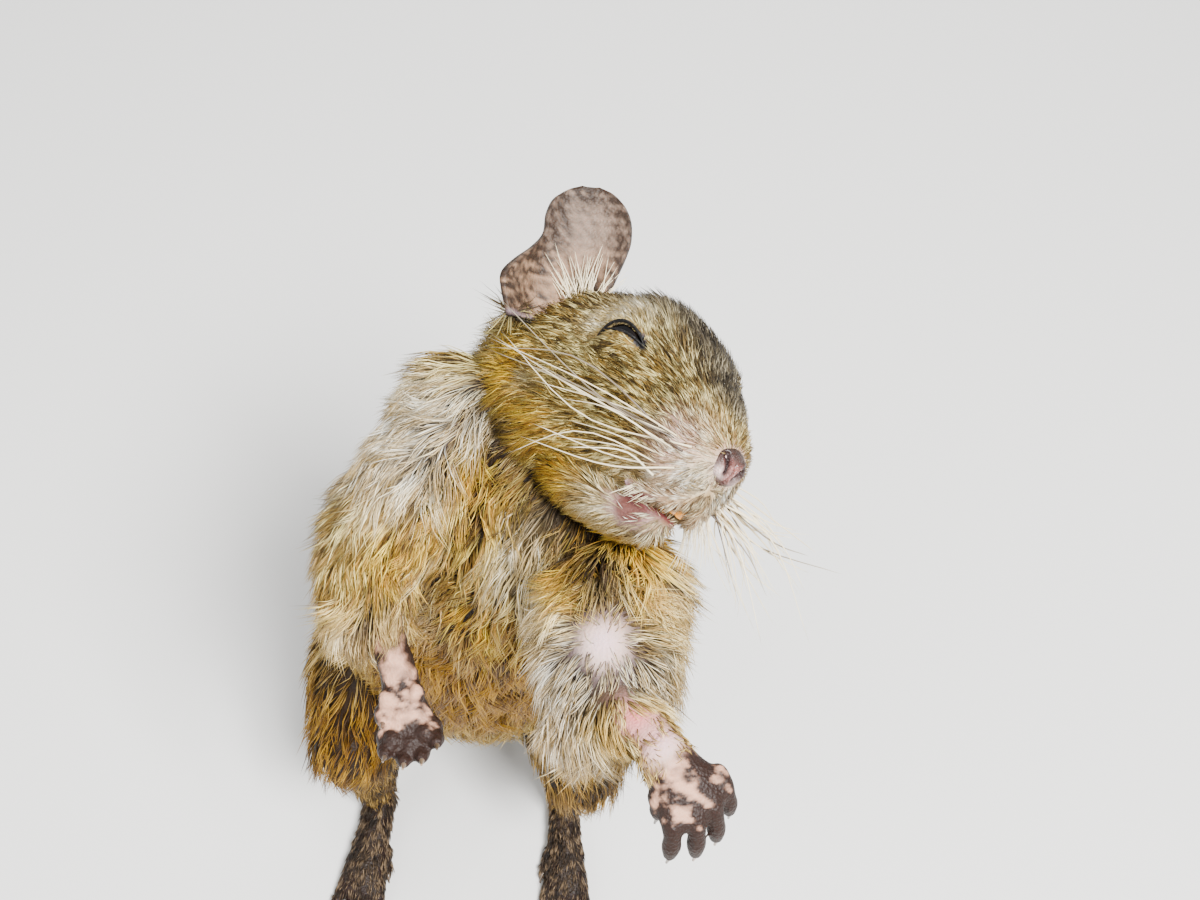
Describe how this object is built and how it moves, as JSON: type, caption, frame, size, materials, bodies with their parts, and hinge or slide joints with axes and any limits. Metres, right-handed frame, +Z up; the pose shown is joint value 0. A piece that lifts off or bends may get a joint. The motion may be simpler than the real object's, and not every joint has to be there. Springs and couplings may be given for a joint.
{
  "type": "degu model",
  "caption": "Life-size still model of a degu standing up on its hind feet and tail, head tilted back, one forepaw reaching out and the other hanging.",
  "frame": {"origin": "middle of the sole of the right hind foot, on the ground", "axes": "+Z up, the body faces -Y, +X to the animal's left, tail back along +Y"},
  "size_m": [0.0929, 0.212, 0.1654],
  "materials": {
    "agouti_fur": "olive-brown banded fur",
    "golden_fur": "golden ochre fur",
    "pale_fur": "whitish grey fur",
    "dark_fur": "short dark fur",
    "bare_skin": "pink skin with dark mottles",
    "ear_skin": "thin mauve-brown skin",
    "nose_skin": "moist pink-brown skin",
    "eye": "glossy black",
    "tooth": "orange enamel"
  },
  "bodies": {
    "root": {"head": "agouti_fur", "lower_jaw": "pale_fur", "nose_pad": "nose_skin", "upper_incisors": "tooth", "lower_incisors": "tooth", "eye_right": "eye", "eye_left": "eye", "ear_right": "ear_skin", "ear_left": "ear_skin", "neck": "golden_fur", "chest": "golden_fur", "belly": "golden_fur", "rump": "agouti_fur", "upper_arm_right": "pale_fur", "upper_arm_left": "pale_fur", "forearm_right": "bare_skin", "forearm_left": "pale_fur", "forepaw_right": "bare_skin", "forepaw_left": "bare_skin", "thigh_right": "agouti_fur", "thigh_left": "agouti_fur", "shank_right": "agouti_fur", "shank_left": "agouti_fur", "hind_foot_right": "dark_fur", "hind_foot_left": "dark_fur", "tail_base": "agouti_fur", "tail_middle": "dark_fur", "tail_tip": "dark_fur"}
  },
  "joints": []
}
